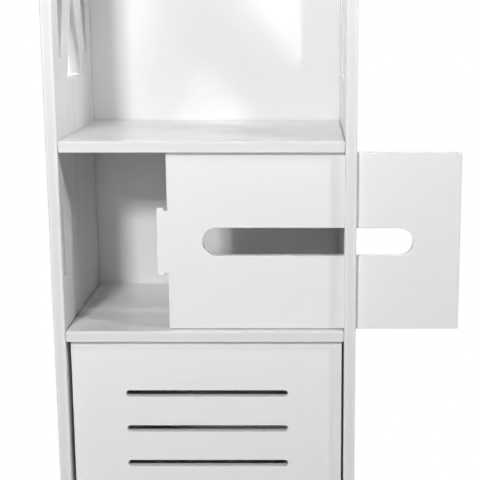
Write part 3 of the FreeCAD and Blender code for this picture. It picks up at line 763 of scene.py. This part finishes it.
def screw_shell(foot, axis, head_radius, head_height, shank_radius, length, fittings):
    """A pan-head screw along an axis.

    The shank's radius falls by a triangle wave of height over pitch less the angle's share
    of a turn, which winds the thread. The head's face is a low dome less the cross recess.
    """
    steps = 96
    shank_rings = 140
    tip_length = 1.6 * shank_radius
    blunt_tip = 0.08
    thread_depth = 0.2
    angle = np.arange(steps) * 2.0 * np.pi / steps
    rise = np.linspace(0.0, length, shank_rings)[:, None]
    turns = rise / fittings.thread_pitch - angle / (2.0 * np.pi)
    wave = np.abs(2.0 * (turns - np.floor(turns)) - 1.0)
    taper = np.clip(rise / tip_length, blunt_tip, 1.0)
    shank = shank_radius * taper * (1.0 - thread_depth * wave)
    shank_height = np.repeat(rise, steps, axis=1)

    crown_fall = 0.72
    crown_power = 2.6
    recess_reach = 0.58 * head_radius
    recess_slope = 0.45
    share = np.concatenate([np.linspace(1.0, 0.72, 10), np.linspace(0.7, 0.02, 36)])[:, None]
    face = head_radius * share
    dome = head_height * np.sqrt(np.clip(1.0 - crown_fall * share**crown_power, 0.0, 1.0))
    across = face * np.cos(angle)
    along = face * np.sin(angle)
    recess = cross(across, along, fittings.recess_width * head_radius, recess_reach)
    sink = fittings.recess_depth * head_height * recess * (1.0 - recess_slope * share)
    head_height_grid = length + dome - sink
    head_grid = np.repeat(face, steps, axis=1)
    under = np.full((1, steps), head_radius)
    seat = np.full((1, steps), length)
    tip = np.zeros((1, steps))
    floor = np.full((1, steps), length + head_height * (1.0 - fittings.recess_depth))
    radius_grid = np.concatenate([tip, shank, under, head_grid, tip])
    height_grid = np.concatenate([tip, shank_height, seat, head_height_grid, floor])
    return set_shell(radius_grid, height_grid, axis, foot)


def knob_shell(foot, axis, radius, length, neck, fittings):
    """A turned knob: foot, hollow waist, swelling head and a face with a shallow dish.

    The side's radius goes from the neck through the waist to the head by cosines of the
    height, the rim is a quarter round, and the dish is a cosine bowl inside a raised ring.
    """
    steps = 96
    foot_end = 0.3
    head_start = 0.26
    head_share = 0.5
    rounding = 0.0026
    dish_share = 0.82
    inner_foot = neck * 0.9
    rise = np.linspace(0.0, 1.0, 44)
    foot_part = np.clip(rise / foot_end, 0.0, 1.0)
    waist = neck + (fittings.knob_waist - neck) * (0.5 - 0.5 * np.cos(np.pi * foot_part))
    head_part = np.clip((rise - head_start) / head_share, 0.0, 1.0)
    side = waist + (radius - waist) * (0.5 - 0.5 * np.cos(np.pi * head_part))
    side_height = rise * (length - rounding)
    turn = np.linspace(0.0, np.pi / 2.0, 16)[1:]
    rim = radius - rounding + rounding * np.cos(turn)
    rim_height = length - rounding + rounding * np.sin(turn)
    inward = np.linspace(1.0, 0.01, 26)[1:]
    face = (radius - rounding) * inward
    bowl = np.clip(1.0 - inward / dish_share, 0.0, 1.0)
    face_height = length - fittings.knob_dish * np.sin(np.pi / 2.0 * bowl) ** 2
    rings = np.concatenate([[0.0, inner_foot], side, rim, face, [0.0]])
    heights = np.concatenate([[0.0, 0.0], side_height, rim_height, face_height, face_height[-1:]])
    return turned_shell(rings, heights, steps, axis, foot)


def floor_shell(radius):
    """A flat disc that looks up: rings whose radius grows by the square, round a pole."""
    steps = 96
    rings = 12
    reach = np.linspace(0.0, 1.0, rings)[:, None] ** 2 * radius
    points = turned_points(np.repeat(reach, steps, axis=1), np.zeros((rings, steps)))
    flat = np.concatenate([points[1:].reshape(-1, 3), np.zeros((1, 3))])
    quads = ring_faces(rings - 1, steps, 0)[:, ::-1]
    inmost = pole_faces(len(flat) - 1, 0, steps, False)
    return flat, quads, inmost


class CABINET_OT_effects(bpy.types.Operator):
    """Builds the shared effects: cut edges, skin, cells, rub, dust, marks and drawn lines"""

    bl_idname = "cabinet.effects"
    bl_label = "Build surface effects"

    def execute(self, context):
        build_cut_edge()
        build_skin()
        build_cells()
        build_rub()
        build_dust()
        build_touch()
        build_drawn()
        return {"FINISHED"}


class CABINET_OT_boards(bpy.types.Operator):
    """Finishes the side panels, the fixed boards, the plinth and the loose shelf"""

    bl_idname = "cabinet.boards"
    bl_label = "Finish boards"

    def execute(self, context):
        skin = context.scene.cabinet_finish.board_white
        ways = {
            "left_side_panel": "X",
            "right_side_panel": "X",
            "top_board": "Z",
            "upper_shelf": "Z",
            "tissue_shelf": "Z",
            "bottom_board": "Z",
            "cupboard_shelf": "Z",
            "plinth_board": "Y",
        }
        for node, across in ways.items():
            low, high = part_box(node)
            held = (low.x, low.y, (low.z + high.z) / 2)
            material = board_finish(
                node, across, skin, gloss=0.22, held=held, reach=0.16, draw=110.0
            )
            dress(node, material)
        return {"FINISHED"}


class CABINET_OT_sheets(bpy.types.Operator):
    """Finishes the sliding tissue panel, the door and the back panel"""

    bl_idname = "cabinet.sheets"
    bl_label = "Finish sheets"

    def execute(self, context):
        skin = context.scene.cabinet_finish.sheet_white
        panel_low, panel_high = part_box("tissue_panel")
        panel_grip = (panel_high.x, panel_low.y, (panel_low.z + panel_high.z) / 2)
        knob_low, knob_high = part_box("door_knob")
        knob_foot = ((knob_low.x + knob_high.x) / 2, knob_high.y, (knob_low.z + knob_high.z) / 2)
        back_low, back_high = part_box("back_panel")
        handling = {
            "tissue_panel": (0.36, panel_grip, 0.11),
            "door_panel": (0.36, knob_foot, 0.07),
            "back_panel": (0.44, (back_low + back_high) / 2, 0.2),
        }
        for node, (gloss, held, reach) in handling.items():
            dress(node, board_finish(node, "Y", skin, gloss, held, reach))
        return {"FINISHED"}


class CABINET_OT_hardware(bpy.types.Operator):
    """Finishes the bushes, pegs, catch, pins, strike plate, hidden screws and glides"""

    bl_idname = "cabinet.hardware"
    bl_label = "Finish hardware"

    def execute(self, context):
        finish = context.scene.cabinet_finish
        nylon = plastic_finish(
            "nylon_finish", finish.nylon_white, finish.wear_and_shade_grey, gloss=0.46, wave=0.0007
        )
        for node in ("upper_hinge_bush", "lower_hinge_bush", "shelf_pins", "catch_case"):
            dress(node, nylon)
        scuffed = (0.2, 0.2, 0.2, 1.0)
        glide = plastic_finish(
            "glide_finish", finish.glide_grey, scuffed, gloss=0.6, wave=0.0009
        )
        for end in ("front", "rear"):
            for side in ("left", "right"):
                dress(f"{end}_{side}_foot", glide)
        bright = (0.56, 0.57, 0.58, 1.0)
        dull = (0.33, 0.33, 0.34, 1.0)
        upright_lines = (3200.0, 3200.0, 240.0)
        steel = metal_finish("steel_finish", bright, dull, upright_lines, gloss=0.34)
        for node in ("upper_hinge_pin", "lower_hinge_pin"):
            dress(node, steel)
        level_lines = (160.0, 3000.0, 3000.0)
        rolled = metal_finish("rolled_finish", bright, dull, level_lines, gloss=0.36)
        for node in ("strike_plate", "catch_pole_plates"):
            dress(node, rolled)
        plated = (0.6, 0.62, 0.65, 1.0)
        tarnished = (0.42, 0.44, 0.47, 1.0)
        spangle = (900.0, 900.0, 900.0)
        zinc = metal_finish("zinc_finish", plated, tarnished, spangle, gloss=0.32)
        for board in screwed_boards:
            dress(f"{board}_screws", zinc)
        dress("catch_magnet", ferrite_finish())
        return {"FINISHED"}


class CABINET_OT_caps(bpy.types.Operator):
    """Makes the domed caps over the screws of each board"""

    bl_idname = "cabinet.caps"
    bl_label = "Make screw caps"

    def execute(self, context):
        fittings = context.scene.cabinet_fittings
        finish = context.scene.cabinet_finish
        plastic = plastic_finish(
            "cap_finish", finish.gloss_white, finish.wear_and_shade_grey, gloss=0.26, wave=0.0012
        )
        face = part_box("right_side_panel")[1].x
        for board in screwed_boards:
            node = f"{board}_caps"
            low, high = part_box(node)
            radius = (high.z - low.z) / 2
            height = high.x - face
            middle = (low.z + high.z) / 2
            shells = []
            for depth in sorted({round(low.y + radius, 6), round(high.y - radius, 6)}):
                for side in (-1.0, 1.0):
                    shape = cap_shell(
                        foot=(side * face, depth, middle),
                        axis=(side, 0.0, 0.0),
                        radius=radius,
                        height=height,
                        rim=fittings.cap_rim,
                        dimple=fittings.cap_dimple,
                    )
                    shells.append(shape)
            piece = new_piece(f"{board}_screw_caps", shells, plastic, crease=50.0)
            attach(piece, "carcass")
            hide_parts(node)
        return {"FINISHED"}


class CABINET_OT_knob(bpy.types.Operator):
    """Makes the turned knob of the door"""

    bl_idname = "cabinet.knob"
    bl_label = "Make knob"

    def execute(self, context):
        finish = context.scene.cabinet_finish
        low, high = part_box("door_knob")
        radius = (high.x - low.x) / 2
        shape = knob_shell(
            foot=((low.x + high.x) / 2, high.y, (low.z + high.z) / 2),
            axis=(0.0, -1.0, 0.0),
            radius=radius,
            length=high.y - low.y,
            neck=0.55 * radius,
            fittings=context.scene.cabinet_fittings,
        )
        plastic = plastic_finish(
            "knob_finish", finish.gloss_white, finish.wear_and_shade_grey, gloss=0.24, wave=0.0024
        )
        piece = new_piece("turned_knob", [shape], plastic, crease=40.0)
        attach(piece, "door")
        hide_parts("door_knob")
        return {"FINISHED"}


class CABINET_OT_screws(bpy.types.Operator):
    """Makes the cross-recessed screws that show inside the cupboard: the knob's and the catch's"""

    bl_idname = "cabinet.screws"
    bl_label = "Make visible screws"

    def execute(self, context):
        fittings = context.scene.cabinet_fittings
        zinc = bpy.data.materials["zinc_finish"]
        low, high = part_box("knob_screw")
        door_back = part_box("door_panel")[1].y
        head_radius = (high.x - low.x) / 2
        shape = screw_shell(
            foot=((low.x + high.x) / 2, low.y, (low.z + high.z) / 2),
            axis=(0.0, 1.0, 0.0),
            head_radius=head_radius,
            head_height=high.y - door_back,
            shank_radius=head_radius / 2,
            length=door_back - low.y,
            fittings=fittings,
        )
        piece = new_piece("knob_fixing_screw", [shape], zinc, crease=35.0)
        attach(piece, "door")
        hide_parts("knob_screw")

        low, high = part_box("catch_screws")
        head_radius = (high.y - low.y) / 2
        head_height = 0.32 * 2 * head_radius
        depth = (low.y + high.y) / 2
        shells = []
        for across in (low.x + head_radius, high.x - head_radius):
            shape = screw_shell(
                foot=(across, depth, high.z),
                axis=(0.0, 0.0, -1.0),
                head_radius=head_radius,
                head_height=head_height,
                shank_radius=0.53 * head_radius,
                length=high.z - low.z - head_height,
                fittings=fittings,
            )
            shells.append(shape)
        piece = new_piece("catch_fixing_screws", shells, zinc, crease=35.0)
        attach(piece, "carcass")
        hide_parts("catch_screws")
        return {"FINISHED"}


def floor_finish():
    """Pale floor that keeps the cabinet's shadow near it and is seen as white further off."""
    pale = (0.62, 0.62, 0.62, 1.0)
    speck = (0.54, 0.54, 0.54, 1.0)
    material = bpy.data.materials.new("pale_floor")
    material.use_nodes = True
    tree = material.node_tree
    tree.nodes.clear()
    position = tree.nodes.new("ShaderNodeTexCoord").outputs["Object"]
    grain = cloud(tree, position, 240.0, 3.0, 0.6)
    colour = tint(tree, calc(tree, "MULTIPLY", grain, 0.12), pale, speck)
    paint = place(tree, "ShaderNodeBsdfDiffuse", {"Color": colour})
    white = place(tree, "ShaderNodeEmission", {"Color": (1.0, 1.0, 1.0, 1.0), "Strength": 1.0})
    away = vector_calc(tree, "LENGTH", position, result=1)
    share = calc(tree, "MULTIPLY", seen_rays(tree), ease(tree, away, 0.12, 0.36, 0.5, 1.0))
    shaders = {0: share, 1: paint.outputs[0], 2: white.outputs[0]}
    mixed = place(tree, "ShaderNodeMixShader", shaders)
    place(tree, "ShaderNodeOutputMaterial", {"Surface": mixed.outputs[0]})
    return material


def sky(strength):
    """Even light from all round, seen as white by the camera and in reflections."""
    world = bpy.data.worlds.new("pale_room")
    world.use_nodes = True
    tree = world.node_tree
    tree.nodes.clear()
    white = (1.0, 1.0, 1.0, 1.0)
    level = calc(tree, "MAXIMUM", seen_rays(tree), strength)
    light = place(tree, "ShaderNodeBackground", {"Color": white, "Strength": level})
    place(tree, "ShaderNodeOutputWorld", {"Surface": light.outputs[0]})
    return world


def lamp(name, target, azimuth, elevation, distance, size, watts, spread=180.0):
    """A square soft lamp that looks at a target, with its angles in degrees.

    The azimuth is zero in front of the cabinet and grows to the right.
    """
    light = bpy.data.lights.new(name, "AREA")
    light.energy = watts
    light.size = size
    light.spread = math.radians(spread)
    thing = bpy.data.objects.new(name, light)
    thing.visible_camera = False
    bpy.context.scene.collection.objects.link(thing)
    turn = math.radians(azimuth)
    lift = math.radians(elevation)
    level = math.cos(lift)
    away = Vector((math.sin(turn) * level, -math.cos(turn) * level, math.sin(lift)))
    thing.location = target + away * distance
    thing.rotation_euler = away.to_track_quat("Z", "Y").to_euler()


class CABINET_OT_stage(bpy.types.Operator):
    """Sets the floor, the lamps, the sky and the camera"""

    bl_idname = "cabinet.stage"
    bl_label = "Set stage"

    def execute(self, context):
        scene = context.scene
        stage = scene.cabinet_stage
        scene.view_settings.view_transform = "Standard"
        disc = floor_shell(stage.floor_radius)
        floor = new_piece("floor", [disc], floor_finish(), crease=30.0)

        low, high = cad_box
        middle = (low + high) / 2
        tissues = Vector((-0.07, -0.08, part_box("upper_shelf")[0].z))
        niche = Vector((0.0, 0.0, 0.68))
        lamp(
            "key_lamp", tissues, azimuth=-12.2, elevation=25.5,
            distance=1.2, size=0.14, watts=stage.key_watts,
        )
        lamp(
            "side_lamp", tissues, azimuth=68.0, elevation=24.4,
            distance=1.243, size=0.07, watts=stage.side_watts,
        )
        lamp(
            "niche_lamp", niche, azimuth=62.0, elevation=28.0,
            distance=1.5, size=0.3, watts=stage.niche_watts, spread=24.0,
        )
        lamp(
            "fill_lamp", middle, azimuth=0.0, elevation=12.0,
            distance=3.0, size=0.9, watts=stage.fill_watts,
        )
        lamp(
            "left_lamp", middle, azimuth=-130.0, elevation=30.0,
            distance=3.0, size=0.9, watts=stage.left_watts,
        )
        lamp(
            "rear_lamp", middle, azimuth=170.0, elevation=52.0,
            distance=3.0, size=1.5, watts=stage.rear_watts,
        )
        scene.world = sky(stage.sky)

        camera = bpy.data.cameras.new("camera")
        camera.sensor_width = 36.0
        camera.lens = stage.lens
        camera.shift_x, camera.shift_y = stage.shift
        viewer = bpy.data.objects.new("camera", camera)
        scene.collection.objects.link(viewer)
        viewer.location = stage.eye
        viewer.rotation_euler = (math.pi / 2 - stage.pitch, 0.0, 0.0)
        scene.camera = viewer
        return {"FINISHED"}


class CABINET_PT_panel(bpy.types.Panel):
    """Lists the cabinet's operators"""

    bl_idname = "CABINET_PT_panel"
    bl_label = "Bathroom cabinet"
    bl_space_type = "VIEW_3D"
    bl_region_type = "UI"
    bl_category = "Cabinet"

    def draw(self, context):
        for operator in operators:
            self.layout.operator(operator.bl_idname)


operators = (
    CABINET_OT_effects,
    CABINET_OT_boards,
    CABINET_OT_sheets,
    CABINET_OT_hardware,
    CABINET_OT_caps,
    CABINET_OT_knob,
    CABINET_OT_screws,
    CABINET_OT_stage,
)

groups = {
    "cabinet_finish": CabinetFinish,
    "cabinet_fittings": CabinetFittings,
    "cabinet_stage": CabinetStage,
}


def register():
    """Registers the property groups, the operators and the panel."""
    for name, group in groups.items():
        bpy.utils.register_class(group)
        setattr(bpy.types.Scene, name, bpy.props.PointerProperty(type=group))
    for operator in operators:
        bpy.utils.register_class(operator)
    bpy.utils.register_class(CABINET_PT_panel)


def unregister():
    """Takes away what register put in."""
    bpy.utils.unregister_class(CABINET_PT_panel)
    for operator in reversed(operators):
        bpy.utils.unregister_class(operator)
    for name, group in reversed(groups.items()):
        delattr(bpy.types.Scene, name)
        bpy.utils.unregister_class(group)


def main():
    """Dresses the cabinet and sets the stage."""
    register()
    bpy.ops.cabinet.effects()
    bpy.ops.cabinet.boards()
    bpy.ops.cabinet.sheets()
    bpy.ops.cabinet.hardware()
    bpy.ops.cabinet.caps()
    bpy.ops.cabinet.knob()
    bpy.ops.cabinet.screws()
    bpy.ops.cabinet.stage()


if __name__ == "__main__":
    main()
